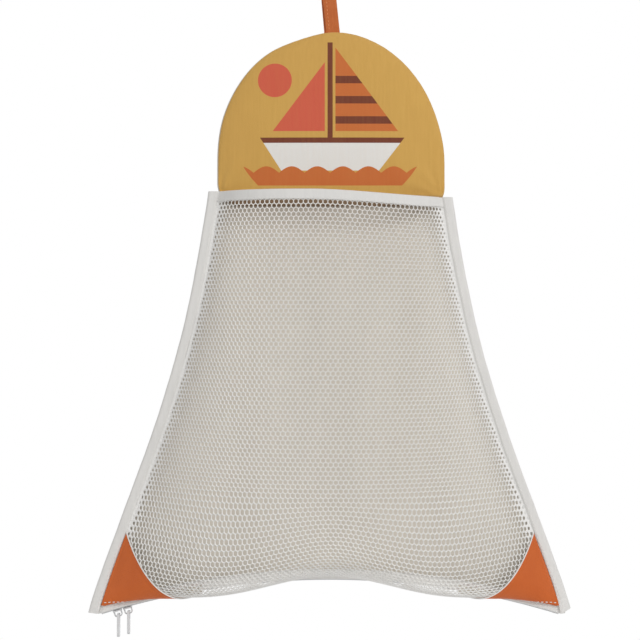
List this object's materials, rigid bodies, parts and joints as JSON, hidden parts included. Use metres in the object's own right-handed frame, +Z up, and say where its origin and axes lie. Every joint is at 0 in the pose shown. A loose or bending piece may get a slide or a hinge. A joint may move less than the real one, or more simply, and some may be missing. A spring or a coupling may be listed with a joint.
{
  "type": "bath toy organizer",
  "caption": "Hanging bath toy organizer: padded arched head on a strap loop, flared netting pouch on a cloth back, bound edges, corner patches and a zipped bottom.",
  "frame": {"origin": "on the wall plane, level with the inside top of the strap loop, where the hook that carries the organizer comes out of the wall", "axes": "+X to the right seen from the front, +Y back into the wall, +Z up"},
  "size_m": [0.451, 0.0905, 0.6325],
  "materials": {
    "gold_canvas": "woven slub canvas with a print",
    "orange_webbing": "ribbed webbing",
    "orange_leatherette": "grained leatherette",
    "white_tape": "woven binding tape",
    "white_net": "knitted polyester netting",
    "cream_cloth": "plain woven polyester",
    "foam": "open-cell foam",
    "white_enamel": "gloss enamel"
  },
  "bodies": {
    "pouch": {"head_front_cover": "gold_canvas", "head_foam_core": "foam", "head_back_cover": "cream_cloth", "hanging_loop": "orange_webbing", "back_panel": "cream_cloth", "mesh_front": "white_net", "mouth_binding": "white_tape", "left_side_binding": "white_tape", "right_side_binding": "white_tape", "left_corner_patch": "orange_leatherette", "right_corner_patch": "orange_leatherette", "zipper_front_tape": "white_tape", "zipper_back_tape": "white_tape", "zipper_front_teeth": "white_tape", "zipper_back_teeth": "white_tape", "left_end_stop": "white_enamel", "right_end_stop": "white_enamel"},
    "left_slider": {"left_slider": "white_enamel"},
    "right_slider": {"right_slider": "white_enamel"},
    "left_pull": {"left_pull": "white_enamel"},
    "right_pull": {"right_pull": "white_enamel"}
  },
  "joints": [
    {"name": "left_slider_run", "type": "hinge", "parent": "pouch", "child": "left_slider", "pos_m": [0, -0.008, -1.30391], "axis": [0, 1, 0], "range_deg": [-0.5, 0]},
    {"name": "right_slider_run", "type": "hinge", "parent": "pouch", "child": "right_slider", "pos_m": [0, -0.008, -1.30391], "axis": [0, 1, 0], "range_deg": [0, 31.7]},
    {"name": "left_pull_swing", "type": "hinge", "parent": "left_slider", "child": "left_pull", "pos_m": [-0.19937, -0.008, -0.60997], "axis": [0, 1, 0], "range_deg": [-8, 60]},
    {"name": "right_pull_swing", "type": "hinge", "parent": "right_slider", "child": "right_pull", "pos_m": [-0.18985, -0.008, -0.60731], "axis": [0, 1, 0], "range_deg": [-85, 8]}
  ]
}
